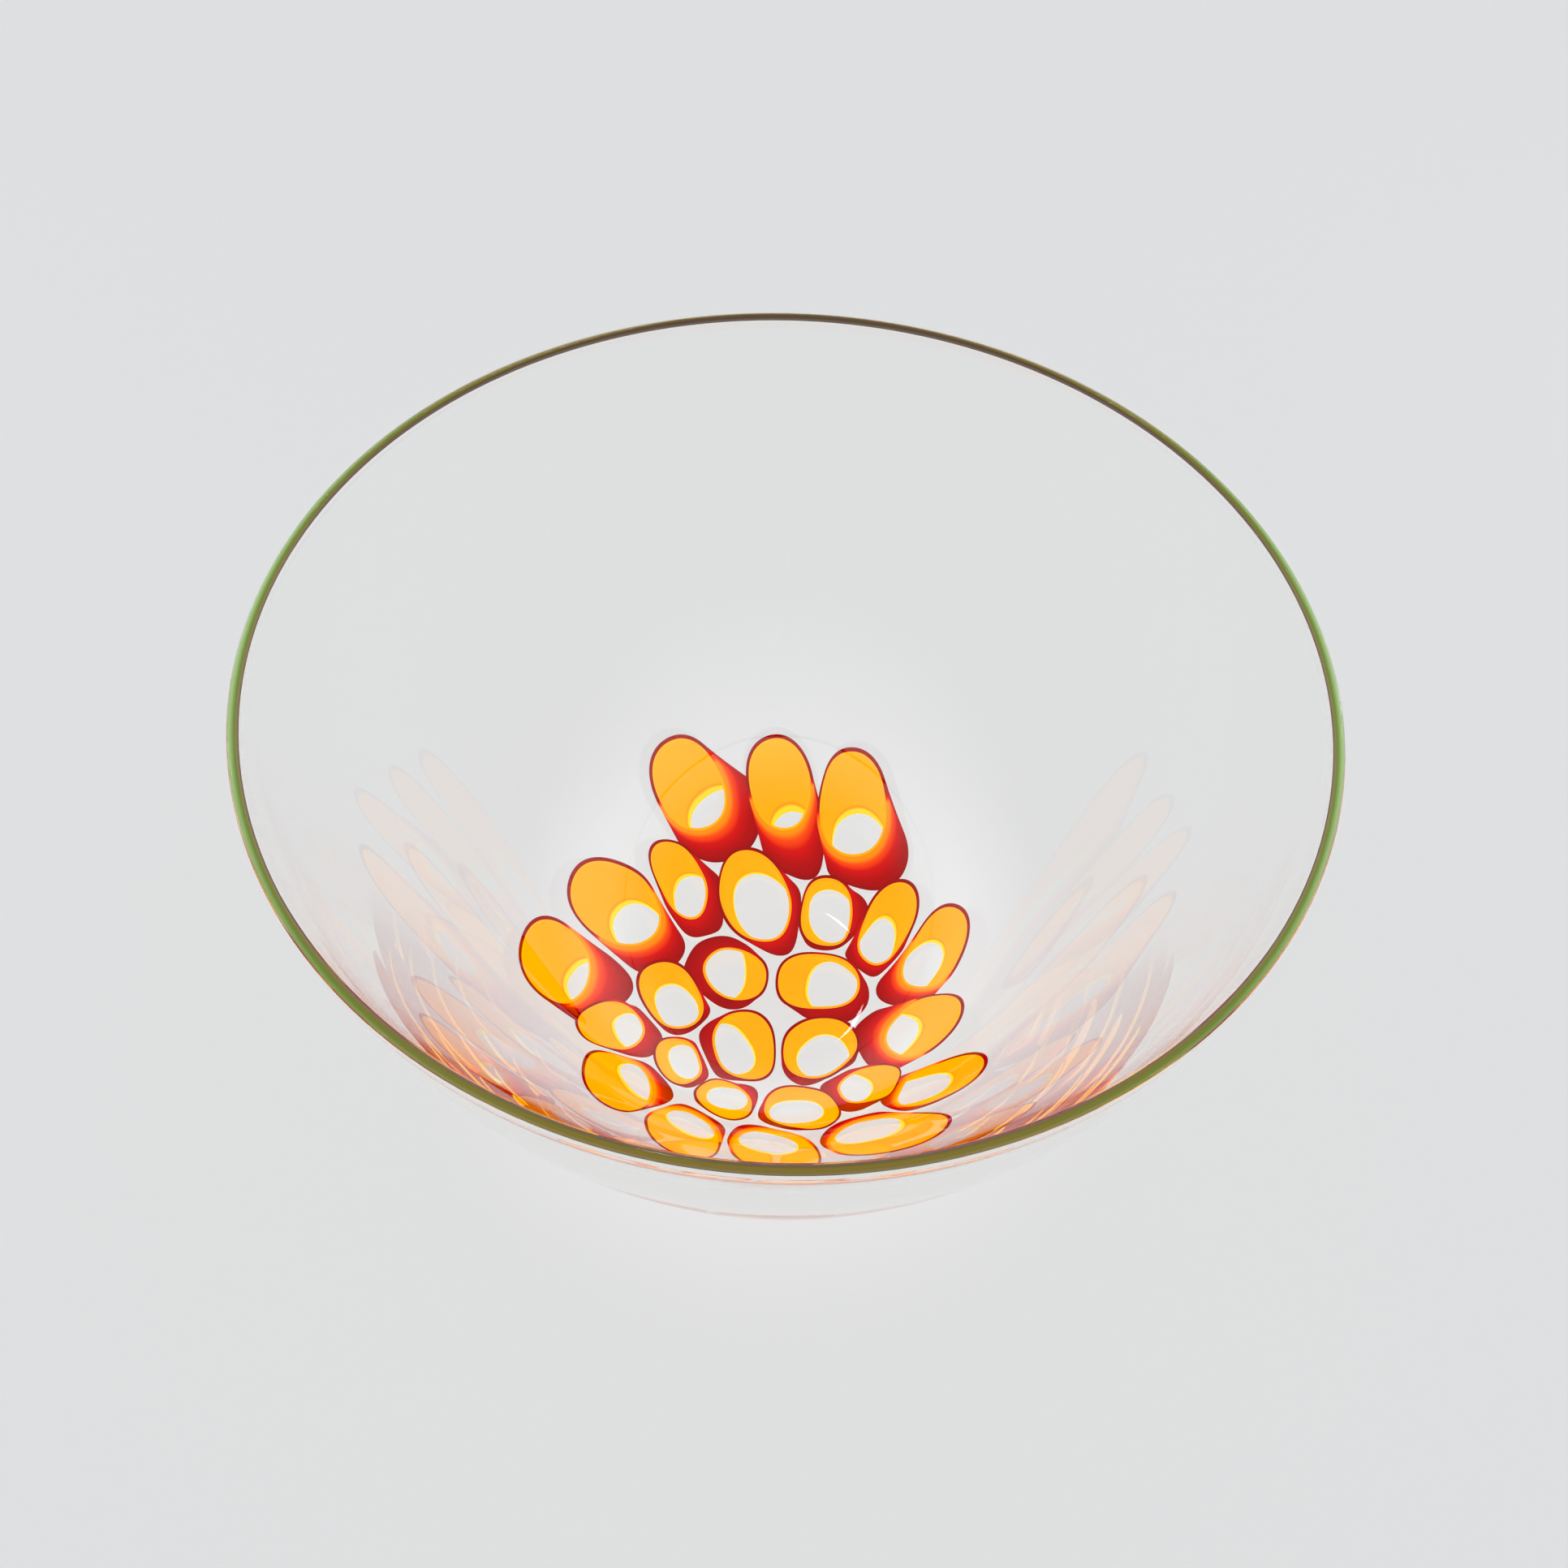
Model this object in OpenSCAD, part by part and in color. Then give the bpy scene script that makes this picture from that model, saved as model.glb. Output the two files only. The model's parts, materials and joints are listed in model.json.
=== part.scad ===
// Blown art glass bowl: a clear, deep, steep-walled bowl with a rosette of cane
// slices (murrine) fused into its base and lower wall, and a thread of olive
// glass wrapped round the lip. Millimetres, +Z up, origin at the centre of the
// foot, on the surface that the bowl stands on. The rosette's longest petals
// climb the +Y side of the wall.

/* [Bowl] */
// Diameter over the lip
rim_d = 250; // [230:2:260]
// Height from the foot to the top of the lip
bowl_h = 150; // [144:1:158]
// Diameter of the flat foot
foot_d = 60; // [48:2:66]
// Glass under the middle of the hollow
floor_t = 8; // [7.6:0.2:10]
// Thickness of the wall just under the lip
wall_t = 2.8; // [2.4:0.1:3]

/* [Lip thread] */
// Diameter of the thread wrapped round the lip
lip_d = 3.2; // [3.2:0.1:4]

/* [Murrine] */
// Clear glass over the mouths of the cane slices
cover_t = 1; // [0.9:0.05:1.2]
// Depth of the roots of the cane slices below the inner surface
root_t = 5.4; // [4.8:0.1:5.6]
// Thickness of the red skin of a slice at its thinnest
red_t = 0.5; // [0.4:0.05:0.8]
// Thickness of the amber layer inside the red skin
amber_t = 0.8; // [0.7:0.05:1]
// Clear glass left between neighbouring slices
seam_t = 0.8; // [0.6:0.05:1.2]

/* [Hidden] */
// Points round a slice, points along a wall curve, and segments round the bowl
RAYS = 24;
STEPS = 36;
TURNS = 128;
// How square an outline is (2 is an ellipse), and how sharply neighbours press it flat
SQUARE = 2.3;
PRESS = 10;
// Slices further apart than this don't press on each other
REACH = 12;
// How far the red skin spreads sideways at the mouth and at the root, as a share
// of the amber layer's radius, where no neighbour stops it
SPREAD = [1.05, 1.4];
// The boundaries of a slice: outside the red skin, between the red and the amber,
// and between the amber and the clear core
SKIN = 0;
AMBER = 1;
CORE = 2;

// The slices: four in the heart, ten in the middle ring, twelve outer petals.
// A patch is [azimuth, distance from the centre along the inner surface, half
// length, half width, turn of the length away from the radial direction]. Each
// slice has one patch for its mouth, near the inner surface, and one for its
// root, deeper in the glass.
HEART = [
    [[170, 12, 10.5, 9, -24], [163, 17, 12.5, 8.5, -68]],
    [[4, 12.5, 13, 10.5, 0], [2, 17, 10.5, 8.5, 80]],
    [[-110, 23, 12.5, 9.5, 36], [-120, 24.5, 10.5, 7, 66]],
    [[-58, 25, 12, 10, -83], [-57, 27, 9, 8, -78]]
];
MIDDLE = [
    [[134, 43.5, 14, 8, -9], [134, 35, 10.5, 7.5, -34]],
    [[104, 29, 17, 11, 11], [99, 26, 13.5, 10, 15]],
    [[59, 28, 12.5, 8.5, 34], [57, 29, 10.5, 8, 55]],
    [[31, 38, 15, 8, 36], [26, 32, 11, 6.5, 54]],
    [[-51, 45, 11.5, 7.5, 61], [-57, 40, 8, 6.5, 22]],
    [[-78, 44.5, 12, 9.5, 60], [-80, 43, 9, 6, 84]],
    [[-107, 43, 9.5, 7.5, 59], [-107, 40, 7, 5.5, -77]],
    [[-132, 39, 9.5, 7, 59], [-132, 36, 7.5, 5.5, 64]],
    [[-154, 52, 12, 9, 15], [-153, 44, 8, 6.5, 87]],
    [[-167, 30.5, 12.5, 9, -74], [-163, 29, 9, 7, -87]]
];
OUTER = [
    [[117, 68, 15.5, 11.5, 11], [110, 55, 11, 9.5, -66]],
    [[91, 64, 15, 10.5, 17], [84, 47, 11, 8, 34]],
    [[69, 62, 17, 11.5, 26], [62, 51, 11.5, 10, 58]],
    [[11, 48, 15, 9, 50], [6, 40, 12.5, 7, 42]],
    [[-20, 46, 13.5, 9.5, 61], [-26, 37, 10, 8, 76]],
    [[-41, 62, 17, 9, 50], [-43, 57, 11, 6.5, 46]],
    [[-61, 71, 19, 12, 50], [-63, 61, 11, 7, 68]],
    [[-88, 67, 16, 12, 30], [-90, 58, 10, 6.5, 67]],
    [[-111, 67, 15.5, 11, 30], [-112, 57, 9, 6, 76]],
    [[-134, 63, 15, 11, 40], [-133, 53, 9, 6, 80]],
    [[-173, 67, 15, 12.5, 75], [-170, 53, 11, 8.5, 51]],
    [[159, 53, 16, 13, 15], [161, 41, 11, 9.5, -13]]
];
SLICES = concat(HEART, MIDDLE, OUTER);
SLICE_NAMES = concat(
    [for (i = [1:len(HEART)]) str("heart_", i)],
    [for (i = [1:len(MIDDLE)]) str("middle_", i)],
    [for (i = [1:len(OUTER)]) str("outer_", i)]
);

rim_r = rim_d / 2;
foot_r = foot_d / 2;
lip_r = lip_d / 2;
edge_h = bowl_h - lip_r;

// ---- wall curves, as [radius, height] ----
function bezier(p, t) =
    pow(1 - t, 3) * p[0] + 3 * t * pow(1 - t, 2) * p[1] + 3 * t * t * (1 - t) * p[2] + pow(t, 3) * p[3];
function curve(p) = [for (i = [0:STEPS]) bezier(p, i / STEPS)];

// Outside: foot, round shoulder, then nearly straight up to the lip
outside = curve([
    [foot_r, 0],
    [foot_r + 0.42 * rim_r, 0],
    [rim_r - 3, bowl_h * 0.79],
    [rim_r - 0.2, edge_h]
]);
// Inside: round bottom, thinning towards the lip
inside = curve([
    [foot_r - 6, floor_t],
    [foot_r + 0.39 * rim_r, floor_t],
    [rim_r - wall_t - 3.7, bowl_h * 0.77],
    [rim_r - wall_t, edge_h]
]);

// ---- the inner surface, laid out flat ----
// A point of the layout is [x, y]: its distance from the centre is measured
// along the inner surface, and its direction is the azimuth.
meridian = concat([[0, floor_t]], inside);
function along(i) = i == 0 ? 0 : along(i - 1) + norm(meridian[i] - meridian[i - 1]);
r_at = [for (i = [0:len(meridian) - 1]) [along(i), meridian[i][0]]];
z_at = [for (i = [0:len(meridian) - 1]) [along(i), meridian[i][1]]];
function on_meridian(s) = [lookup(s, r_at), lookup(s, z_at)];
function unit(v) = v / norm(v);
// The point under p of the layout, a given depth into the glass
function place(p, depth) =
    let (s = norm(p),
         slope = unit(on_meridian(s + 2) - on_meridian(s - 2)),
         q = on_meridian(s) + depth * [slope[1], -slope[0]],
         az = atan2(p[1], p[0]))
    [q[0] * cos(az), q[0] * sin(az), q[1]];

// ---- outlines of the slices, in the layout ----
function middle(patch) = patch[1] * [cos(patch[0]), sin(patch[0])];
// Radius of a patch's own rounded outline in direction a
function free_radius(patch, a) =
    let (b = a - patch[0] - patch[4])
    pow(pow(abs(cos(b)) / patch[2], SQUARE) + pow(abs(sin(b)) / patch[3], SQUARE), -1 / SQUARE);
// The flats that neighbours press into slice i, as [direction, distance]
function flats(i, level) =
    let (me = SLICES[i][level])
    [for (j = [0:len(SLICES) - 1])
        let (you = SLICES[j][level],
             gap = middle(you) - middle(me),
             a = atan2(gap[1], gap[0]),
             mine = free_radius(me, a),
             yours = free_radius(you, a + 180))
        if (j != i && norm(gap) < mine + yours + REACH)
            [a, norm(gap) * mine / (mine + yours) - seam_t / 2]];
function pressed_radius(own, pressing, a) =
    pow(pow(own, -PRESS) + sum([for (f = pressing) pow(max(0, cos(a - f[0])) / f[1], PRESS)]), -1 / PRESS);
function sum(v) = len(v) == 0 ? 0 : v * [for (x = v) 1];

// ---- rings of a slice in space ----
function depth_of(level) = level == 0 ? cover_t : root_t;
function centre(i, level) = place(middle(SLICES[i][level]), depth_of(level));
// One boundary of slice i at its mouth (level 0) or its root (level 1)
function ring(i, level, boundary) =
    let (patch = SLICES[i][level], pressing = flats(i, level), c = centre(i, level))
    [for (k = [0:RAYS - 1])
        let (a = 360 * k / RAYS,
             own = free_radius(patch, a),
             skin = pressed_radius(SPREAD[level] * own, pressing, a),
             amber = pressed_radius(own, pressing, a) - red_t,
             reach = boundary == SKIN ? skin : boundary == AMBER ? amber : amber - amber_t,
             q = place(middle(patch) + skin * [cos(a), sin(a)], depth_of(level)))
        c + reach / skin * (q - c)];

function next(k) = (k + 1) % RAYS;
function band(a, b) = [for (k = [0:RAYS - 1]) each [[a + k, a + next(k), b + next(k)], [a + k, b + next(k), b + k]]];
function turned(faces) = [for (f = faces) [f[2], f[1], f[0]]];
function fan(hub, a) = [for (k = [0:RAYS - 1]) [hub, a + next(k), a + k]];

// A plug of slice i from mouth to root, inside one of its boundaries
module plug(i, boundary) {
    points = concat(ring(i, 0, boundary), ring(i, 1, boundary), [centre(i, 0), centre(i, 1)]);
    polyhedron(points, concat(band(0, RAYS), fan(2 * RAYS, 0), turned(fan(2 * RAYS + 1, RAYS))));
}

// A sleeve of slice i between two of its boundaries, open at both ends
module sleeve(i, outer, inner) {
    points = concat(ring(i, 0, outer), ring(i, 1, outer), ring(i, 0, inner), ring(i, 1, inner));
    faces = concat(
        band(0, RAYS),
        turned(band(2 * RAYS, 3 * RAYS)),
        turned(band(0, 2 * RAYS)),
        band(RAYS, 3 * RAYS)
    );
    polyhedron(points, faces);
}

module red_skin(i) {
    color("firebrick") sleeve(i, SKIN, AMBER);
}

module amber_layer(i) {
    color("orange") sleeve(i, AMBER, CORE);
}

// The clear middles of all the slices
module clear_cores() {
    color("whitesmoke", 0.5)
        for (i = [0:len(SLICES) - 1])
            plug(i, CORE);
}

// The thread of olive glass round the lip
module lip_thread() {
    color("olivedrab")
        rotate_extrude($fn = TURNS)
            translate([rim_r - lip_r, bowl_h - lip_r])
                circle(r = lip_r, $fn = 48);
}

// The clear glass of the bowl: its wall and foot, hollowed where the slices lie
module clear_wall() {
    section = concat([[0, 0]], outside, [for (k = [STEPS:-1:0]) inside[k]], [[0, floor_t]]);
    color("white", 0.4)
        difference() {
            rotate_extrude($fn = TURNS) polygon(section);
            lip_thread();
            for (i = [0:len(SLICES) - 1])
                plug(i, SKIN);
        }
}

clear_wall();
lip_thread();
clear_cores();
for (i = [0:len(SLICES) - 1]) {
    amber_layer(i);
    red_skin(i);
}
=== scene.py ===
"""Looks for the art glass bowl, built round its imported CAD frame.

The clear glass of a blown bowl is optically one body, so one closed skin stands for the CAD wall
and for the clear cores of the cane slices. The coloured layers of every slice lie inside it, and so
does the olive thread of the lip. All sizes are in metres.
"""

import json
import logging
import math
from dataclasses import dataclass, field
from enum import Enum

import bmesh
import bpy
from mathutils import Euler, Matrix, Vector

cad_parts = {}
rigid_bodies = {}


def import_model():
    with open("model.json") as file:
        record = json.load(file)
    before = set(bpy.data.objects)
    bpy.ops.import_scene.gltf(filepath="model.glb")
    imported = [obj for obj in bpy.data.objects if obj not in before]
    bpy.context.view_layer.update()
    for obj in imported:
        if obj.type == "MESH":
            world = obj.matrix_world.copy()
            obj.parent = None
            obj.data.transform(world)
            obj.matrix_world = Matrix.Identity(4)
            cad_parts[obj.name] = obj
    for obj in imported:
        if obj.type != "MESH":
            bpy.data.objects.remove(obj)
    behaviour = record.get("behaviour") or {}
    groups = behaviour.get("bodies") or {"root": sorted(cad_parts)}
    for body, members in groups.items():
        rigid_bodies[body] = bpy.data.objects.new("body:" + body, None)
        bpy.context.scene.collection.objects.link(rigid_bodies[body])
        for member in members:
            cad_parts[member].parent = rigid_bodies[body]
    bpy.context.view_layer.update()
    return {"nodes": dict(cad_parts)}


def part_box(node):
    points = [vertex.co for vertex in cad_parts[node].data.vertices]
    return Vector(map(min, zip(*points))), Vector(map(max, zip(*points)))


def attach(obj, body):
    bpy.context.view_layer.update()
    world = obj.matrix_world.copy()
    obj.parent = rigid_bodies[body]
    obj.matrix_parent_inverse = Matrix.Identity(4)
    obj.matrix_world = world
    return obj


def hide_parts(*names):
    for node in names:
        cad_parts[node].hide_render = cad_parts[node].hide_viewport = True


LOG = logging.getLogger("art_glass_bowl")
MM = 0.001
BODY = "root"

# Vertices closer together than this are merged
WELD = 1e-6
# Corners of two CAD sleeves closer together than this are one shared corner
SAME_CORNER = 0.01 * MM

# Attributes that the pieces carry for their materials
COLOUR_DEPTH = "colour_depth"
# How far painted shade and reflection turn the lip thread from green to brown.
PAINTED_LIP_SHADE = "laid"

Colour = tuple[float, float, float, float]
Stops = tuple[tuple[float, Colour], ...]


class Ring(Enum):
    """The three rings of cane slices, from the middle of the bowl outwards."""

    HEART = "heart"
    MIDDLE = "middle"
    OUTER = "outer"

    @property
    def thinnest(self) -> float:
        """The red's depth of colour where the skin is thinnest: the petals fade to orange there.

        Returns:
            A depth of colour from 0 to 1.
        """
        return {Ring.HEART: 0.6, Ring.MIDDLE: 0.4, Ring.OUTER: 0.0}[self]


# ---------------------------------------------------------------- small helpers


def new_piece(name: str, bm: bmesh.types.BMesh, smooth: bool = True) -> bpy.types.Object:
    """Turns a finished bmesh into an object at the origin.

    Args:
        name: The piece's name.
        bm: The finished bmesh, which is freed.
        smooth: Whether the faces are shaded smooth.

    Returns:
        The new object, linked to the scene.
    """
    for face in bm.faces:
        face.smooth = smooth
    mesh = bpy.data.meshes.new(name)
    bm.to_mesh(mesh)
    bm.free()
    piece = bpy.data.objects.new(name, mesh)
    bpy.context.scene.collection.objects.link(piece)
    return piece


def chain(
    bm: bmesh.types.BMesh,
    points: list[Vector],
    closed: bool = False,
) -> list[bmesh.types.BMEdge]:
    """Adds a row of vertices joined by edges.

    Args:
        bm: The bmesh to add to.
        points: The places of the vertices, in order.
        closed: Whether the last vertex is joined to the first.

    Returns:
        The edges, in order.
    """
    verts = [bm.verts.new(p) for p in points]
    pairs = list(zip(verts, verts[1:]))
    if closed:
        pairs.append((verts[-1], verts[0]))
    return [bm.edges.new(pair) for pair in pairs]


def spin(bm: bmesh.types.BMesh, turns: int) -> None:
    """Spins a section once round the Z axis.

    Args:
        bm: The bmesh that holds the section and nothing else.
        turns: The number of steps round the axis.
    """
    bmesh.ops.spin(
        bm,
        geom=[*bm.verts, *bm.edges],
        cent=(0, 0, 0),
        axis=(0, 0, 1),
        angle=math.tau,
        steps=turns,
        use_merge=True,
    )


def bezier(points: list[tuple[float, float]], steps: int) -> list[Vector]:
    """Points of a cubic curve in the half-plane of [radius, height].

    Args:
        points: The four control points.
        steps: The number of equal steps along the curve.

    Returns:
        The steps + 1 points, as vectors (radius, 0, height).
    """
    control = [Vector((r, 0, z)) for r, z in points]
    curve = []
    for i in range(steps + 1):
        t = i / steps
        weights = ((1 - t) ** 3, 3 * t * (1 - t) ** 2, 3 * t * t * (1 - t), t**3)
        curve.append(sum((w * c for w, c in zip(weights, control)), Vector()))
    return curve


def middle_of(points: list[Vector]) -> Vector:
    """The mean of some points.

    Args:
        points: The points.

    Returns:
        Their mean.
    """
    return sum(points, Vector()) / len(points)


# ---------------------------------------------------------------- node helpers


def colour_ramp(tree: bpy.types.NodeTree, stops: Stops) -> bpy.types.Node:
    """Adds a colour ramp to a node tree.

    Args:
        tree: The node tree.
        stops: The ramp's (position, colour) pairs, in order.

    Returns:
        The ramp node.
    """
    ramp = tree.nodes.new("ShaderNodeValToRGB")
    elements = ramp.color_ramp.elements
    while len(elements) < len(stops):
        elements.new(0.5)
    for element, (position, colour) in zip(elements, stops):
        element.position = position
        element.color = colour
    return ramp


def ripple_group() -> bpy.types.NodeTree:
    """Makes a node group that puts out a slow, uneven height for hand-worked glass.

    Returns:
        The node group, with inputs Scale and Stretch and the output Height.
    """
    group = bpy.data.node_groups.new("hand_worked_ripple", "ShaderNodeTree")
    group.interface.new_socket("Scale", in_out="INPUT", socket_type="NodeSocketFloat")
    group.interface.new_socket("Stretch", in_out="INPUT", socket_type="NodeSocketVector")
    group.interface.new_socket("Height", in_out="OUTPUT", socket_type="NodeSocketFloat")
    nodes, links = group.nodes, group.links
    source, sink = nodes.new("NodeGroupInput"), nodes.new("NodeGroupOutput")
    place = nodes.new("ShaderNodeTexCoord")
    mapping = nodes.new("ShaderNodeMapping")
    noise = nodes.new("ShaderNodeTexNoise")
    noise.inputs["Detail"].default_value = 1.5
    noise.inputs["Roughness"].default_value = 0.4
    links.new(place.outputs["Object"], mapping.inputs["Vector"])
    links.new(source.outputs["Stretch"], mapping.inputs["Scale"])
    links.new(mapping.outputs["Vector"], noise.inputs["Vector"])
    links.new(source.outputs["Scale"], noise.inputs["Scale"])
    links.new(noise.outputs["Fac"], sink.inputs["Height"])
    return group


def add_ripple(
    material: bpy.types.Material,
    shader: bpy.types.Node,
    scale: float,
    stretch: tuple[float, float, float],
    distance: float,
) -> None:
    """Feeds a shader's Normal from the ripple group through a Bump node.

    Args:
        material: The material to add the nodes to.
        shader: The shader whose Normal is fed.
        scale: How fine the ripple is, per metre.
        stretch: The scale of the ripple along each axis.
        distance: The height of the ripple.
    """
    nodes, links = material.node_tree.nodes, material.node_tree.links
    ripple = nodes.new("ShaderNodeGroup")
    ripple.node_tree = ripple_group()
    ripple.inputs["Scale"].default_value = scale
    ripple.inputs["Stretch"].default_value = stretch
    bump = nodes.new("ShaderNodeBump")
    bump.inputs["Distance"].default_value = distance
    links.new(ripple.outputs["Height"], bump.inputs["Height"])
    links.new(bump.outputs["Normal"], shader.inputs["Normal"])


def paint_haze_on_long_paths(
    material: bpy.types.Material,
    shader: bpy.types.NodeSocket,
    depth: float,
    painted_glow: Colour,
) -> bpy.types.NodeSocket:
    """Paints light into the glass where paths have bounced many times: the glass gives out an even
    pale colour there as emission, though it is no lamp.

    Args:
        material: The material to add the nodes to.
        shader: The glass's shader output.
        depth: The number of bounces of the whole path after which no image is left.
        painted_glow: Colour of the painted light that the glass gives out.

    Returns:
        The output of the combined shader.
    """
    nodes, links = material.node_tree.nodes, material.node_tree.links
    path = nodes.new("ShaderNodeLightPath")
    past_clear_bounces = nodes.new("ShaderNodeMath")
    past_clear_bounces.operation = "GREATER_THAN"
    past_clear_bounces.inputs[1].default_value = depth
    # Painted light: past that depth the glass gives out a flat pale colour.
    painted_haze = nodes.new("ShaderNodeEmission")
    painted_haze.inputs["Color"].default_value = painted_glow
    mix = nodes.new("ShaderNodeMixShader")
    links.new(path.outputs["Ray Depth"], past_clear_bounces.inputs[0])
    links.new(past_clear_bounces.outputs["Value"], mix.inputs["Fac"])
    links.new(shader, mix.inputs[1])
    links.new(painted_haze.outputs["Emission"], mix.inputs[2])
    return mix.outputs["Shader"]


def let_light_through(
    material: bpy.types.Material,
    shader: bpy.types.NodeSocket,
    colour: Colour,
) -> None:
    """Lets stray light pass through a material, so that glass doesn't darken what lies under it.

    Args:
        material: The material to add the nodes to.
        shader: Output of the shader that the eye, mirrored rays and refracted rays see.
        colour: Colour of the light that passes.
    """
    nodes, links = material.node_tree.nodes, material.node_tree.links
    path = nodes.new("ShaderNodeLightPath")
    clear = nodes.new("ShaderNodeBsdfTransparent")
    clear.inputs["Color"].default_value = colour
    stray = nodes.new("ShaderNodeMath")
    stray.operation = "MAXIMUM"
    mix = nodes.new("ShaderNodeMixShader")
    links.new(path.outputs["Is Shadow Ray"], stray.inputs[0])
    links.new(path.outputs["Is Diffuse Ray"], stray.inputs[1])
    links.new(stray.outputs["Value"], mix.inputs["Fac"])
    links.new(shader, mix.inputs[1])
    links.new(clear.outputs["BSDF"], mix.inputs[2])
    links.new(mix.outputs["Shader"], nodes["Material Output"].inputs["Surface"])


# ---------------------------------------------------------------- finishes


@dataclass(frozen=True)
class Finish:
    """A procedural material, made from the Principled BSDF that every new material holds.

    Attributes:
        name: The material's name.
    """

    name: str

    def start(self) -> tuple[bpy.types.Material, bpy.types.Node]:
        """Makes the material.

        Returns:
            The material and its Principled BSDF node.
        """
        material = bpy.data.materials.new(self.name)
        material.use_nodes = True
        return material, material.node_tree.nodes["Principled BSDF"]

    @staticmethod
    def set_sockets(shader: bpy.types.Node, values: dict[str, object]) -> None:
        """Sets plain values on a shader's own sockets.

        Args:
            shader: The shader.
            values: The values by the names of the sockets.
        """
        for socket, value in values.items():
            shader.inputs[socket].default_value = value


@dataclass(frozen=True)
class ClearGlass(Finish):
    """Clear glass that light passes through without a hard shadow.

    Attributes:
        tint: Colour of the light that is refracted.
        ripple: Height of the hand-worked ripple.
        ripple_scale: How fine the ripple is, per metre.
        ripple_stretch: The scale of the ripple along each axis.
        index: Refractive index.
        passed: Colour of the stray light that passes straight through.
        clear_bounces: The number of bounces of the whole path that leave a clear image.
        painted_haze: Colour of the painted light that the glass gives out in place of longer paths.
    """

    tint: Colour
    ripple: float
    ripple_scale: float = 16.0
    ripple_stretch: tuple[float, float, float] = (1.0, 1.0, 0.35)
    index: float = 1.5
    passed: Colour = (1.0, 1.0, 1.0, 1.0)
    clear_bounces: float = 13.0
    painted_haze: Colour = (0.74, 0.74, 0.73, 1.0)

    def material(self) -> bpy.types.Material:
        """Builds the glass.

        Returns:
            The finished material.
        """
        material, shader = self.start()
        self.set_sockets(
            shader,
            {
                "Base Color": self.tint,
                "Roughness": 0.0,
                "IOR": self.index,
                "Transmission Weight": 1.0,
            },
        )
        add_ripple(material, shader, self.ripple_scale, self.ripple_stretch, self.ripple)
        # Past clear_bounces the glass gives out painted light instead of an image.
        with_painted_haze = paint_haze_on_long_paths(material, shader.outputs["BSDF"], self.clear_bounces, self.painted_haze)
        let_light_through(material, with_painted_haze, self.passed)
        return material


@dataclass(frozen=True)
class DenseGlass(Finish):
    """Dense, coloured glass that lies inside the clear body.

    Attributes:
        attribute: The piece's attribute that the colour follows.
        stops: Ramp of (value of the attribute, colour).
        passed: Colour of the stray light that passes straight through.
        painted_glow: Strength of the painted light that the glass gives out as emission in its
            ramp's colour, standing for light gathered from behind.
        scatter: How much of the light scatters inside the glass.
        roughness: Roughness of the surface.
        reach: How far red, green and blue light scatter, as shares of the scale.
        scale: The scale of the scattering.
    """

    attribute: str
    stops: Stops
    passed: Colour
    painted_glow: float
    scatter: float = 0.0
    roughness: float = 0.45
    reach: tuple[float, float, float] = (1.0, 0.5, 0.15)
    scale: float = 1.2 * MM

    def material(self) -> bpy.types.Material:
        """Builds the glass from the piece's attribute.

        Returns:
            The finished material.
        """
        material, shader = self.start()
        nodes, links = material.node_tree.nodes, material.node_tree.links
        value = nodes.new("ShaderNodeAttribute")
        value.attribute_name = self.attribute
        ramp = colour_ramp(material.node_tree, self.stops)
        links.new(value.outputs["Fac"], ramp.inputs["Fac"])
        links.new(ramp.outputs["Color"], shader.inputs["Base Color"])
        # The ramp's colour is also given out as emission: painted light, though the glass is no
        # lamp.
        links.new(ramp.outputs["Color"], shader.inputs["Emission Color"])
        self.set_sockets(
            shader,
            {
                "Roughness": self.roughness,
                "Specular IOR Level": 0.0,
                "Emission Strength": self.painted_glow,
                "Subsurface Weight": self.scatter,
                "Subsurface Radius": self.reach,
                "Subsurface Scale": self.scale,
            },
        )
        let_light_through(material, shader.outputs["BSDF"], self.passed)
        return material


@dataclass(frozen=True)
class PlainSurface(Finish):
    """The pale, matt surface that the bowl stands on, with a pool of light painted lighter under
    the bowl, where the glass gathers the light.

    Attributes:
        colour: The colour of the surface.
        painted_light_pool: The colour in the middle, under the bowl, painted lighter for the light
            that the glass gathers there.
        inner_reach: How far from the middle the painted pool of light is lightest.
        outer_reach: How far from the middle the painted pool of light reaches at all.
    """

    colour: Colour
    painted_light_pool: Colour = (1.0, 1.0, 1.0, 1.0)
    inner_reach: float = 44 * MM
    outer_reach: float = 110 * MM

    def material(self) -> bpy.types.Material:
        """Builds the surface's material.

        Returns:
            The finished material.
        """
        material, shader = self.start()
        nodes, links = material.node_tree.nodes, material.node_tree.links
        place = nodes.new("ShaderNodeTexCoord")
        away = nodes.new("ShaderNodeVectorMath")
        away.operation = "LENGTH"
        fade = nodes.new("ShaderNodeMapRange")
        fade.interpolation_type = "SMOOTHSTEP"
        fade.inputs["From Min"].default_value = self.inner_reach
        fade.inputs["From Max"].default_value = self.outer_reach
        # Painted light: lighter in the middle, under the bowl, fading out to the plain colour.
        ramp = colour_ramp(material.node_tree, ((0.0, self.painted_light_pool), (1.0, self.colour)))
        links.new(place.outputs["Object"], away.inputs[0])
        links.new(away.outputs["Value"], fade.inputs["Value"])
        links.new(fade.outputs["Result"], ramp.inputs["Fac"])
        links.new(ramp.outputs["Color"], shader.inputs["Base Color"])
        self.set_sockets(shader, {"Roughness": 0.9, "Specular IOR Level": 0.1})
        return material


CLEAR = ClearGlass("clear_glass", tint=(0.99, 0.99, 0.985, 1.0), ripple=0.12 * MM)
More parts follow.
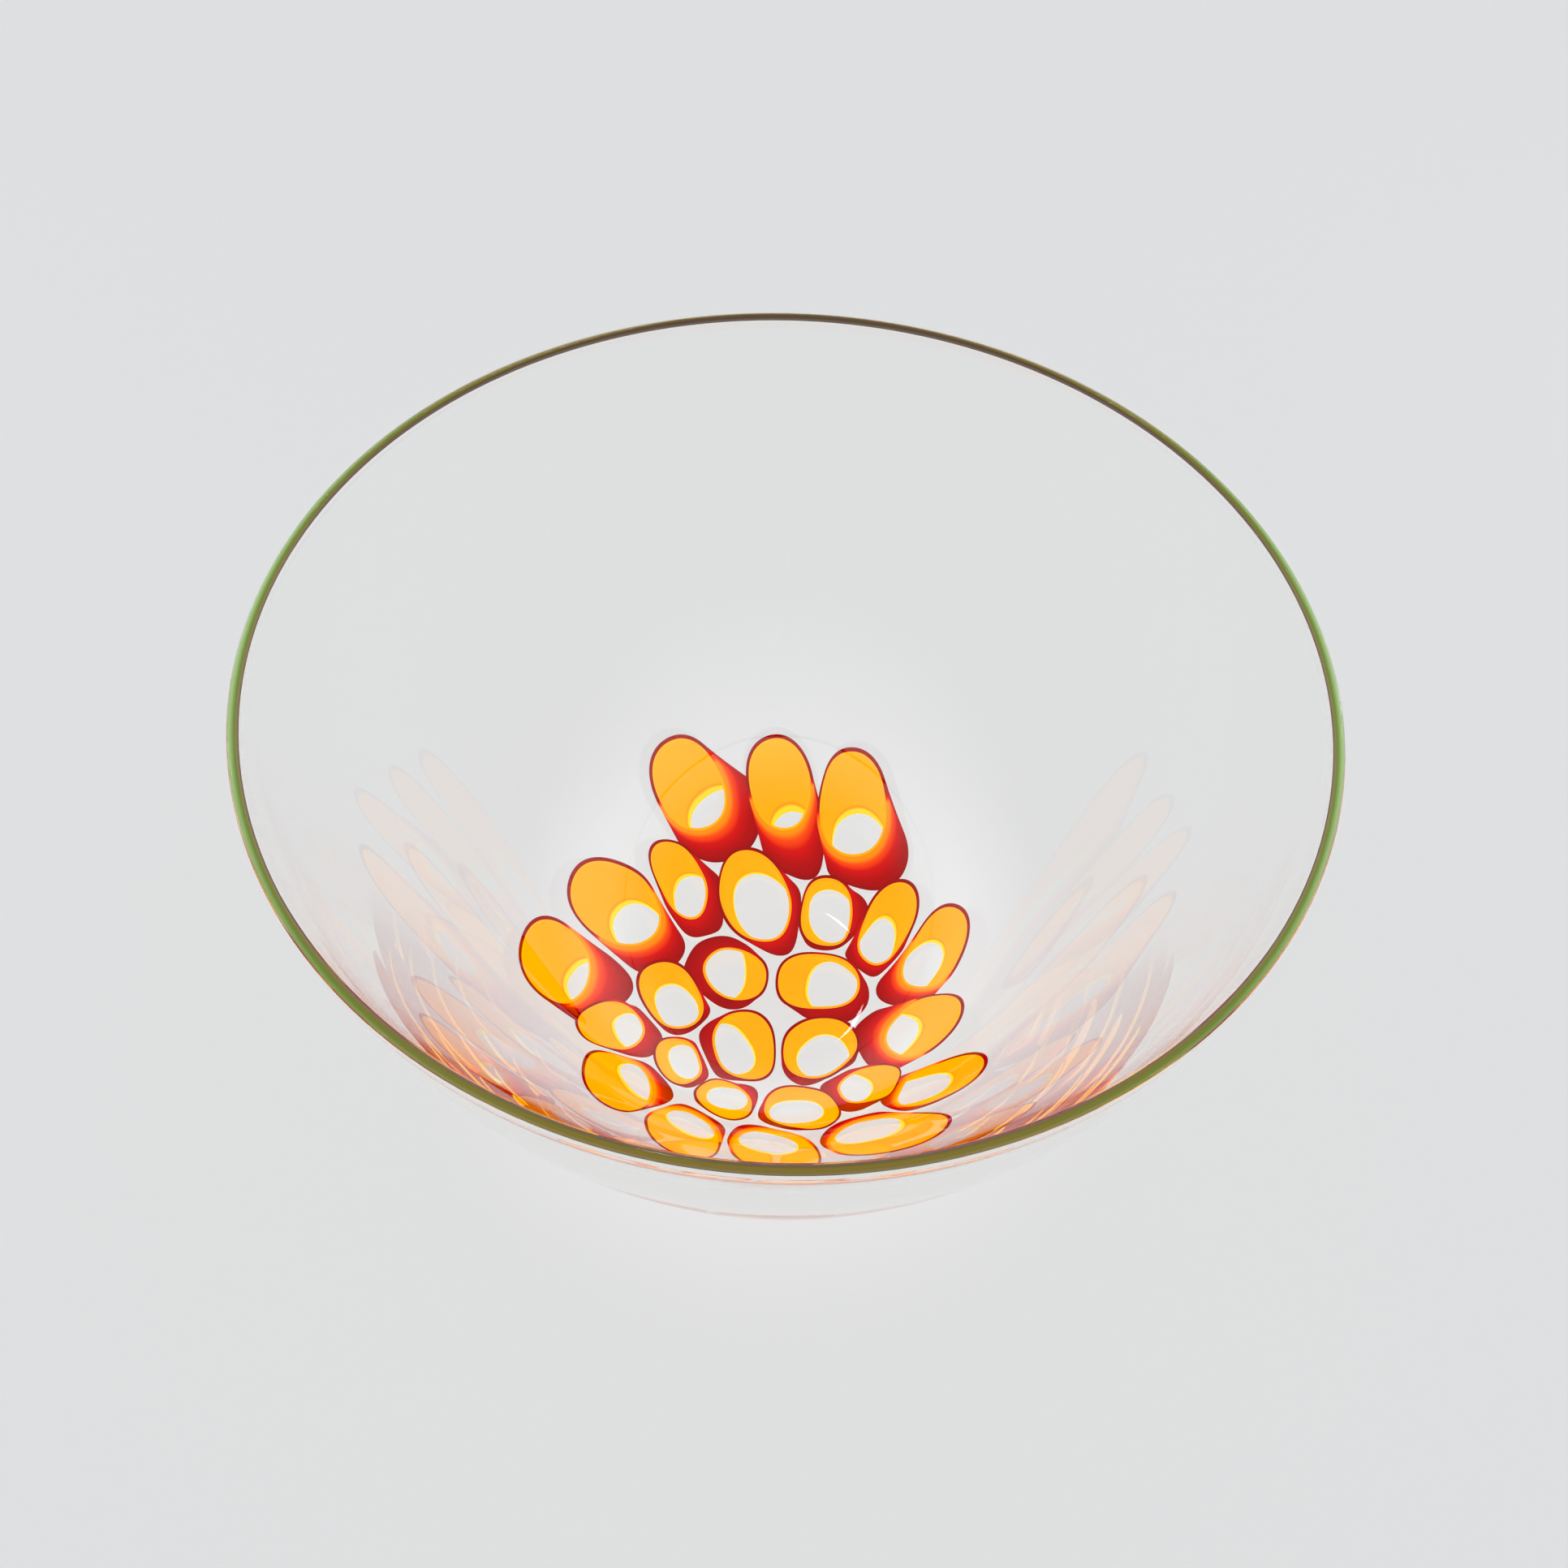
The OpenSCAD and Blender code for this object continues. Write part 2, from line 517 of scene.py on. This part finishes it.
# The olive thread's green turns brown with its painted shade and reflection.
OLIVE = DenseGlass(
    "olive_glass",
    attribute=PAINTED_LIP_SHADE,
    stops=(
        (0.0, (0.3, 0.46, 0.14, 1.0)),
        (0.35, (0.14, 0.22, 0.03, 1.0)),
        (0.65, (0.2, 0.14, 0.02, 1.0)),
        (0.9, (0.09, 0.055, 0.03, 1.0)),
    ),
    passed=(0.85, 0.9, 0.7, 1.0),
    # Painted light: the olive thread gives out some of its colour as emission.
    painted_glow=0.25,
    roughness=0.3,
)
AMBER = DenseGlass(
    "amber_opal",
    attribute=COLOUR_DEPTH,
    stops=(
        (0.0, (0.9, 0.33, 0.0, 1.0)),
        (0.84, (0.9, 0.33, 0.0, 1.0)),
        (0.88, (0.75, 0.24, 0.0, 1.0)),
        # A thin darker band just short of the root is painted shade at the root's end.
        (0.93, (1.0, 0.62, 0.02, 1.0)),
    ),
    passed=(1.0, 0.995, 0.99, 1.0),
    # Painted light: the amber gives out its colour as emission.
    painted_glow=0.55,
    scatter=0.3,
)
RED = DenseGlass(
    "red_skin",
    attribute=COLOUR_DEPTH,
    stops=(
        (0.0, (0.92, 0.24, 0.0, 1.0)),
        (0.14, (0.86, 0.06, 0.0, 1.0)),
        (0.36, (0.58, 0.001, 0.0, 1.0)),
        (0.65, (0.4, 0.0, 0.0, 1.0)),
        (1.0, (0.29, 0.0, 0.0, 1.0)),
    ),
    passed=(1.0, 0.995, 0.99, 1.0),
    # Painted light: the red gives out its colour as emission.
    painted_glow=0.4,
    scatter=0.1,
)
PALE = PlainSurface("pale_surface", colour=(0.9, 0.9, 0.9, 1.0))


# ---------------------------------------------------------------- the clear body


@dataclass
class ClearBody:
    """The clear glass of the bowl: foot, wall and lip bead, as one closed skin.

    Attributes:
        rim_r: Radius over the lip.
        height: Height over the lip.
        lip_r: Radius of the bead's section.
        foot_r: Radius of the flat foot.
        floor_t: Glass under the middle of the hollow.
        wall_t: Thickness of the wall just under the lip.
        steps: Steps along each wall curve.
        turns: Steps round the bowl.
        bead_gap: Height left free on a wall curve below the bead.
        bead_start: Where the bead starts on the outer wall, as an angle from level, in degrees.
        bead_end: Where it ends on the inner wall.
        bead_step: From one point of the bead to the next.
    """

    rim_r: float
    height: float
    lip_r: float
    foot_r: float = 30 * MM
    floor_t: float = 8 * MM
    wall_t: float = 2.8 * MM
    steps: int = 48
    turns: int = 192
    bead_gap: float = 0.4 * MM
    bead_start: int = -15
    bead_end: int = 210
    bead_step: int = 15

    def outside(self) -> list[Vector]:
        """The outer wall curve: foot, round shoulder, then nearly straight up.

        Returns:
            The points of the curve, from the foot up.
        """
        return bezier(
            [
                (self.foot_r, 0),
                (self.foot_r + 0.42 * self.rim_r, 0),
                (self.rim_r - 3 * MM, 0.79 * self.height),
                (self.rim_r - 0.2 * MM, self.height - self.lip_r),
            ],
            self.steps,
        )

    def inside(self) -> list[Vector]:
        """The inner wall curve: round bottom, thinning towards the lip.

        Returns:
            The points of the curve, from the floor of the hollow up.
        """
        return bezier(
            [
                (self.foot_r - 6 * MM, self.floor_t),
                (self.foot_r + 0.39 * self.rim_r, self.floor_t),
                (self.rim_r - self.wall_t - 3.7 * MM, 0.77 * self.height),
                (self.rim_r - self.wall_t, self.height - self.lip_r),
            ],
            self.steps,
        )

    def bead(self) -> list[Vector]:
        """The rounded top of the lip.

        Returns:
            The points of the bead, from the outer wall over to the inner wall.
        """
        centre = Vector((self.rim_r - self.lip_r, 0, self.height - self.lip_r))
        degrees = range(self.bead_start, self.bead_end + 1, self.bead_step)
        angles = [math.radians(a) for a in degrees]
        return [centre + self.lip_r * Vector((math.cos(a), 0, math.sin(a))) for a in angles]

    def build(self) -> bpy.types.Object:
        """Spins the section of the glass into one closed skin.

        Returns:
            The finished piece, dressed and riding on the bowl's body.
        """
        bead = self.bead()
        outer = [p for p in self.outside() if p.z < bead[0].z - self.bead_gap]
        inner = [p for p in self.inside() if p.z < bead[-1].z - self.bead_gap]
        bm = bmesh.new()
        foot, hollow = Vector((0, 0, 0)), Vector((0, 0, self.floor_t))
        chain(bm, [foot, *outer, *bead, *reversed(inner), hollow])
        spin(bm, self.turns)
        bmesh.ops.remove_doubles(bm, verts=bm.verts[:], dist=WELD)
        bmesh.ops.recalc_face_normals(bm, faces=bm.faces[:])
        piece = new_piece("glass_body", bm)
        piece.data.materials.append(CLEAR.material())
        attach(piece, BODY)
        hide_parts("clear_wall", "clear_cores")
        return piece

    def depth_below_hollow(self, point: Vector) -> float:
        """How deep a point of the glass lies below the inner surface.

        Args:
            point: A point in the frame.

        Returns:
            The distance to the nearest point of the inner wall curve.
        """
        flat = Vector((math.hypot(point.x, point.y), 0, point.z))
        curve = [Vector((0, 0, self.floor_t)), *self.inside()]
        best = math.inf
        for a, b in zip(curve, curve[1:]):
            run = b - a
            t = max(0.0, min(1.0, (flat - a).dot(run) / run.length_squared))
            best = min(best, (flat - a - t * run).length)
        return best


# ---------------------------------------------------------------- the lip thread


@dataclass
class LipThread:
    """The flattened olive thread that runs round inside the bead of the lip.

    Attributes:
        body: The clear body whose bead holds the thread.
        half_width: Half of the thread's width, across the lip.
        half_height: Half of the thread's height.
        lift: How far the thread lies above the middle of the bead.
        facets: Points round the thread's section.
        inner_brown: How brown the inner edge is, all the way round.
        far_brown: How much browner the far side is.
        near_brown: How much browner the near side is.
        near_edge: How much browner still the outer edge of the near side is.
    """

    body: ClearBody
    half_width: float = 0.85 * MM
    half_height: float = 0.5 * MM
    lift: float = 0.35 * MM
    facets: int = 20
    inner_brown: float = 0.85
    far_brown: float = 0.7
    near_brown: float = 0.3
    near_edge: float = 0.5

    def laid(self, point: Vector, middle_r: float) -> float:
        """How far painted shade and reflection turn the thread from green to brown at a point of
        its surface, by where the point lies round the bowl and across the thread.

        Args:
            point: The point.
            middle_r: Radius of the ring through the middle of the thread.

        Returns:
            A value from 0, green, up to 1, brown with painted shade and reflection.
        """
        inward = 0.5 - 0.5 * (math.hypot(point.x, point.y) - middle_r) / self.half_width
        # Browner along the inner edge, and on the far and near sides of the bowl: painted shade and
        # reflection.
        far = point.y / middle_r
        drift = self.far_brown if far > 0 else self.near_brown + self.near_edge * (1 - inward) ** 2
        return min(1.0, self.inner_brown * inward**2 + drift * far**2)

    def build(self) -> bpy.types.Object:
        """Spins the thread's flattened section into a ring.

        Returns:
            The finished piece, dressed and riding on the bowl's body.
        """
        bead_r, bead_z = self.body.rim_r - self.body.lip_r, self.body.height - self.body.lip_r
        bm = bmesh.new()
        bmesh.ops.create_circle(
            bm,
            cap_ends=False,
            segments=self.facets,
            radius=1.0,
            matrix=Matrix.Translation((bead_r, 0, bead_z + self.lift))
            @ Matrix.Diagonal((self.half_width, 1.0, self.half_height, 1.0))
            @ Matrix.Rotation(math.pi / 2, 4, "X"),
        )
        spin(bm, self.body.turns)
        bmesh.ops.recalc_face_normals(bm, faces=bm.faces[:])
        laid = bm.verts.layers.float.new(PAINTED_LIP_SHADE)
        for vert in bm.verts:
            vert[laid] = self.laid(vert.co, bead_r)
        piece = new_piece("lip_olive_thread", bm)
        piece.data.materials.append(OLIVE.material())
        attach(piece, BODY)
        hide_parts("lip_thread")
        return piece


# ---------------------------------------------------------------- the rosette


@dataclass
class Loops:
    """One layer boundary of a slice.

    Attributes:
        mouth: Its loop near the inner surface.
        root: Its loop deeper in the glass.
    """

    mouth: list[Vector]
    root: list[Vector]


@dataclass
class Slice:
    """One cane slice, read from its two CAD sleeves.

    Attributes:
        name: The slice's name, such as "outer_3".
        ring: The ring that it belongs to.
        body: The clear body that it lies in.
        nodes: The CAD nodes by name.
        rays: The number of points round a CAD outline.
        mouth_depth: Corners less deep than this below the hollow belong to the mouth.
        full_lean: A side that leans out as far as this has the thinnest red skin at the mouth.
        climb: Rise per outward run of the direction that a loop's order is measured from.
        smoothing: Levels of smoothing between the corners.
        boundaries: The loops outside the red, between the red and the amber, and inside the amber.
    """

    name: str
    ring: Ring
    body: ClearBody
    nodes: dict[str, bpy.types.Object]
    rays: int = 24
    mouth_depth: float = 3 * MM
    full_lean: float = 2 * MM
    climb: float = 0.8
    smoothing: int = 2
    boundaries: list[Loops] = field(default_factory=list)

    def corners(self, layer: str) -> list[Vector]:
        """The separate corner points of one CAD sleeve.

        Args:
            layer: "amber" or "red".

        Returns:
            The places of the corners.
        """
        bm = bmesh.new()
        bm.from_mesh(self.nodes[f"{self.name}_{layer}"].data)
        bmesh.ops.remove_doubles(bm, verts=bm.verts[:], dist=WELD)
        points = [v.co.copy() for v in bm.verts]
        bm.free()
        return points

    def read(self) -> None:
        """Sorts the corners of the two sleeves into the loops of the three boundaries."""
        red, amber = self.corners("red"), self.corners("amber")
        shared = [p for p in amber if min((p - q).length for q in red) < SAME_CORNER]
        outermost = [p for p in red if min((p - q).length for q in shared) > SAME_CORNER]
        innermost = [p for p in amber if min((p - q).length for q in shared) > SAME_CORNER]
        for points in (outermost, shared, innermost):
            shallow = [p for p in points if self.body.depth_below_hollow(p) < self.mouth_depth]
            deep = [p for p in points if self.body.depth_below_hollow(p) >= self.mouth_depth]
            mouth = self.ordered(shallow)
            self.boundaries.append(Loops(mouth, self.aligned(mouth, self.ordered(deep))))

    def ordered(self, points: list[Vector]) -> list[Vector]:
        """Puts the points of one loop in order round its middle.

        Args:
            points: The points of the loop.

        Returns:
            The same points in order.
        """
        if len(points) != self.rays:
            raise ValueError(f"{self.name} has a loop of {len(points)} points, not {self.rays}")
        middle = middle_of(points)
        outward = Vector((middle.x, middle.y, 0)).normalized()
        across = Vector((0, 0, 1)).cross(outward)
        uphill = outward + Vector((0, 0, self.climb))

        def angle(point: Vector) -> float:
            """The direction of a point from the middle, measured from uphill."""
            return math.atan2((point - middle).dot(across), (point - middle).dot(uphill))

        return sorted(points, key=angle)

    def aligned(self, mouth: list[Vector], root: list[Vector]) -> list[Vector]:
        """Starts the root loop where it runs least askew to the mouth loop.

        Args:
            mouth: The mouth loop.
            root: The root loop.

        Returns:
            The root loop from its new start.
        """
        mouth_middle, root_middle = middle_of(mouth), middle_of(root)

        def askew(start: int) -> float:
            """How askew the root loop runs to the mouth loop from a given start."""
            turned = root[start:] + root[:start]
            gaps = [(a - mouth_middle) - (b - root_middle) for a, b in zip(mouth, turned)]
            return sum(gap.length_squared for gap in gaps)

        start = min(range(len(root)), key=askew)
        return root[start:] + root[:start]

    def skin_depth(self, k: int) -> float:
        """How deep the red is at the mouth: pale where the slice's side leans out and can be seen.

        Args:
            k: The number of the point round the slice's outline.

        Returns:
            A depth of colour from 0, a thin skin, to 1, the full red.
        """
        skin = self.boundaries[0]
        out = (skin.mouth[k] - middle_of(skin.mouth)).normalized()
        lean = (skin.root[k] - skin.mouth[k]).dot(out)
        return max(self.ring.thinnest, min(1.0, 1.0 - lean / self.full_lean))

    def sleeve(
        self,
        layer: str,
        outer: Loops,
        inner: Loops,
        depths: list[float],
        finish: bpy.types.Material,
    ) -> bpy.types.Object:
        """Bridges four loops into a sleeve and smooths it along its loops.

        Args:
            layer: "amber" or "red".
            outer: The sleeve's outer boundary.
            inner: The sleeve's inner boundary.
            depths: The depth of the colour round the mouth. It is 1 at the root.
            finish: The material of the layer.

        Returns:
            The finished piece, dressed and riding on the bowl's body.
        """
        bm = bmesh.new()
        colour_depth = bm.verts.layers.float.new(COLOUR_DEPTH)
        crease = bm.edges.layers.float.new("crease_edge")
        full = [1.0] * self.rays
        loops = []
        for points, values in (
            (outer.mouth, depths),
            (outer.root, full),
            (inner.root, full),
            (inner.mouth, depths),
        ):
            loop = chain(bm, points, closed=True)
            for edge, value in zip(loop, values):
                edge[crease] = 1.0
                edge.verts[0][colour_depth] = value
            loops.append(loop)
        for a, b in zip(loops, loops[1:] + loops[:1]):
            bmesh.ops.bridge_loops(bm, edges=[*a, *b])
        bmesh.ops.recalc_face_normals(bm, faces=bm.faces[:])
        piece = new_piece(f"{self.name}_{layer}_layer", bm)
        piece.data.materials.append(finish)
        smooth = piece.modifiers.new("smooth", "SUBSURF")
        smooth.levels = smooth.render_levels = self.smoothing
        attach(piece, BODY)
        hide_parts(f"{self.name}_{layer}")
        return piece


@dataclass
class Rosette:
    """All the cane slices of the bowl.

    Attributes:
        body: The clear body that they lie in.
        nodes: The CAD nodes by name.
    """

    body: ClearBody
    nodes: dict[str, bpy.types.Object]

    def build(self) -> list[bpy.types.Object]:
        """Builds the two coloured layers of every slice.

        Returns:
            The finished pieces.
        """
        amber, red = AMBER.material(), RED.material()
        pieces = []
        for ring in Ring:
            names = sorted({n.rsplit("_", 1)[0] for n in self.nodes if n.startswith(ring.value)})
            for name in names:
                cane = Slice(name, ring, self.body, self.nodes)
                cane.read()
                outer, shared, inner = cane.boundaries
                skin = [cane.skin_depth(k) for k in range(cane.rays)]
                pieces.append(cane.sleeve("red", outer, shared, skin, red))
                pieces.append(cane.sleeve("amber", shared, inner, [0.0] * cane.rays, amber))
        return pieces


# ---------------------------------------------------------------- stage, lights and camera


@dataclass
class Studio:
    """The pale surface, the soft light and the camera.

    Attributes:
        lip: The middle of the lip, which the camera's place is measured from.
        distance: From the camera to the middle of the lip.
        rise: The camera's height angle above the plane of the lip, in degrees.
        dip: The camera's view direction below the horizontal, in degrees.
        roll: How far the camera leans, in degrees.
        lens: Focal length for a 36 mm wide sensor, in millimetres.
        surface_half: Half of the width of the pale surface.
        surface_gap: Gap between the surface and the bowl's foot.
        aim_z: Height of the point that the lamps are aimed at.
        windows: The two small windows overhead, as (name, x, y).
        window_z: Their height.
        window_size: Their width and height.
        window_radiance: Brightness of their faces, where the pale surface is a little under 1.
        strings: The strings of small lamps beside the bowl, as (name, azimuth in degrees).
        string_away: Their distance from the middle of the bowl.
        string_lamps: The number of lamps in a string.
        string_z: Height of the lowest lamp.
        string_step: Height from one lamp to the next.
        string_wave: How far a string wavers sideways.
        string_turn: How far its wave turns from one lamp to the next, in radians.
        lamp_size: Width and height of a lamp.
        lamp_radiance: Brightness of a lamp's face.
        sky_colour: Colour of the sky.
        sky_strength: Brightness of the sky where its ramp is full.
        sky_stops: Brightness of the sky by height, as (sine of the height angle, brightness): level
            with the surface at the horizon, brightest above it, and dim overhead, where the hollow
            mirrors it.
        bounces: The number of bounces that light may take, enough to run down the wall.
    """

    lip: Vector
    distance: float = 396.5 * MM
    rise: float = 49.0
    dip: float = 53.04
    roll: float = 2.57
    lens: float = 40.06
    surface_half: float = 20.0
    surface_gap: float = 0.2 * MM
    aim_z: float = 70 * MM
    windows: tuple[tuple[str, float, float], ...] = (
        ("window_left", -0.048, 0.761),
        ("window_right", -0.075, 0.564),
    )
    window_z: float = 1.2
    window_size: tuple[float, float] = (30 * MM, 40 * MM)
    window_radiance: float = 14.0
    strings: tuple[tuple[str, float], ...] = (
        ("right_front", -30),
        ("left_front", -150),
        ("right_back", 30),
        ("left_back", 163),
    )
    string_away: float = 0.62
    string_lamps: int = 16
    string_z: float = 12 * MM
    string_step: float = 26 * MM
    string_wave: float = 12 * MM
    string_turn: float = 1.3
    lamp_size: tuple[float, float] = (10 * MM, 13 * MM)
    lamp_radiance: float = 5.0
    sky_colour: tuple[float, float, float] = (0.98, 0.99, 1.0)
    sky_strength: float = 2.0
    sky_stops: tuple[tuple[float, float], ...] = (
        (0.04, 0.74),
        (0.3, 1.55),
        (0.46, 1.55),
        (0.85, 0.3),
    )
    bounces: int = 40

    def floor(self) -> bpy.types.Object:
        """Lays the pale surface just under the bowl's foot.

        Returns:
            The surface.
        """
        bm = bmesh.new()
        bmesh.ops.create_grid(bm, x_segments=1, y_segments=1, size=self.surface_half)
        bmesh.ops.translate(bm, verts=bm.verts[:], vec=(0, 0, -self.surface_gap))
        piece = new_piece("floor", bm, smooth=False)
        piece.data.materials.append(PALE.material())
        return piece

    def soft_box(
        self,
        name: str,
        place: Vector,
        size: tuple[float, float],
        radiance: float,
    ) -> None:
        """Hangs one rectangular soft light, aimed at the middle of the bowl.

        Args:
            name: The light's name.
            place: Where it hangs.
            size: Its width and height.
            radiance: How bright its face is, where the pale surface is a little under 1.
        """
        lamp = bpy.data.lights.new(name, "AREA")
        lamp.shape = "RECTANGLE"
        lamp.size, lamp.size_y = size
        lamp.energy = math.pi * size[0] * size[1] * radiance
        light = bpy.data.objects.new(name, lamp)
        light.location = place
        aim = Vector((0, 0, self.aim_z)) - place
        light.rotation_euler = aim.to_track_quat("-Z", "Y").to_euler()
        light.visible_camera = light.visible_transmission = False
        bpy.context.scene.collection.objects.link(light)

    def light_string(self, name: str, azimuth: float) -> None:
        """Stands a wavering string of small lamps beside the bowl.

        Args:
            name: The start of the lamps' names.
            azimuth: The direction of the string from the bowl, in degrees.
        """
        away = Vector((math.cos(math.radians(azimuth)), math.sin(math.radians(azimuth)), 0))
        across = Vector((0, 0, 1)).cross(away)
        for i in range(self.string_lamps):
            wave = self.string_wave * math.sin(i * self.string_turn)
            height = Vector((0, 0, self.string_z + self.string_step * i))
            place = self.string_away * away + wave * across + height
            self.soft_box(f"{name}_{i}", place, self.lamp_size, self.lamp_radiance)

    def sky(self) -> bpy.types.World:
        """Makes a white sky that lights the bowl from the sides and glares little in its hollow.

        Returns:
            The world.
        """
        world = bpy.data.worlds.new("studio")
        world.use_nodes = True
        nodes, links = world.node_tree.nodes, world.node_tree.links
        background = nodes["Background"]
        background.inputs["Strength"].default_value = self.sky_strength
        direction = nodes.new("ShaderNodeTexCoord")
        height = nodes.new("ShaderNodeSeparateXYZ")
        stops = []
        for position, brightness in self.sky_stops:
            red, green, blue = (c * brightness / self.sky_strength for c in self.sky_colour)
            stops.append((position, (red, green, blue, 1.0)))
        ramp = colour_ramp(world.node_tree, tuple(stops))
        ramp.color_ramp.interpolation = "EASE"
        links.new(direction.outputs["Generated"], height.inputs["Vector"])
        links.new(height.outputs["Z"], ramp.inputs["Fac"])
        links.new(ramp.outputs["Color"], background.inputs["Color"])
        return world

    def camera(self) -> bpy.types.Object:
        """Sets the camera up.

        Returns:
            The camera object.
        """
        data = bpy.data.cameras.new("camera")
        data.lens = self.lens
        data.sensor_width = 36.0
        camera = bpy.data.objects.new("camera", data)
        rise = math.radians(self.rise)
        camera.location = self.lip + self.distance * Vector((0, -math.cos(rise), math.sin(rise)))
        lean = Matrix.Rotation(math.radians(self.roll), 3, "Z")
        tilt = Euler((math.radians(90 - self.dip), 0, 0)).to_matrix()
        camera.rotation_euler = (tilt @ lean).to_euler()
        bpy.context.scene.collection.objects.link(camera)
        return camera

    def build(self) -> None:
        """Builds the surface, the lights, the sky and the camera."""
        self.floor()
        for name, x, y in self.windows:
            place = Vector((x, y, self.window_z))
            self.soft_box(name, place, self.window_size, self.window_radiance)
        for name, azimuth in self.strings:
            self.light_string(f"string_{name}", azimuth)
        scene = bpy.context.scene
        scene.world = self.sky()
        scene.view_settings.view_transform = "Standard"
        scene.cycles.max_bounces = self.bounces
        scene.cycles.glossy_bounces = self.bounces
        scene.cycles.transmission_bounces = self.bounces
        scene.cycles.transparent_max_bounces = self.bounces
        scene.camera = self.camera()


def main() -> None:
    """Builds every piece of the bowl and its studio."""
    logging.basicConfig(level=logging.INFO)
    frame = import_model()
    low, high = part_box("lip_thread")
    body = ClearBody(rim_r=high.x, height=high.z, lip_r=(high.z - low.z) / 2)
    LOG.info("clear body: %s", body.build().name)
    LOG.info("lip thread: %s", LipThread(body).build().name)
    for piece in Rosette(body, frame["nodes"]).build():
        LOG.info("cane slice layer: %s", piece.name)
    Studio(Vector((0, 0, body.height))).build()


if __name__ == "__main__":
    main()
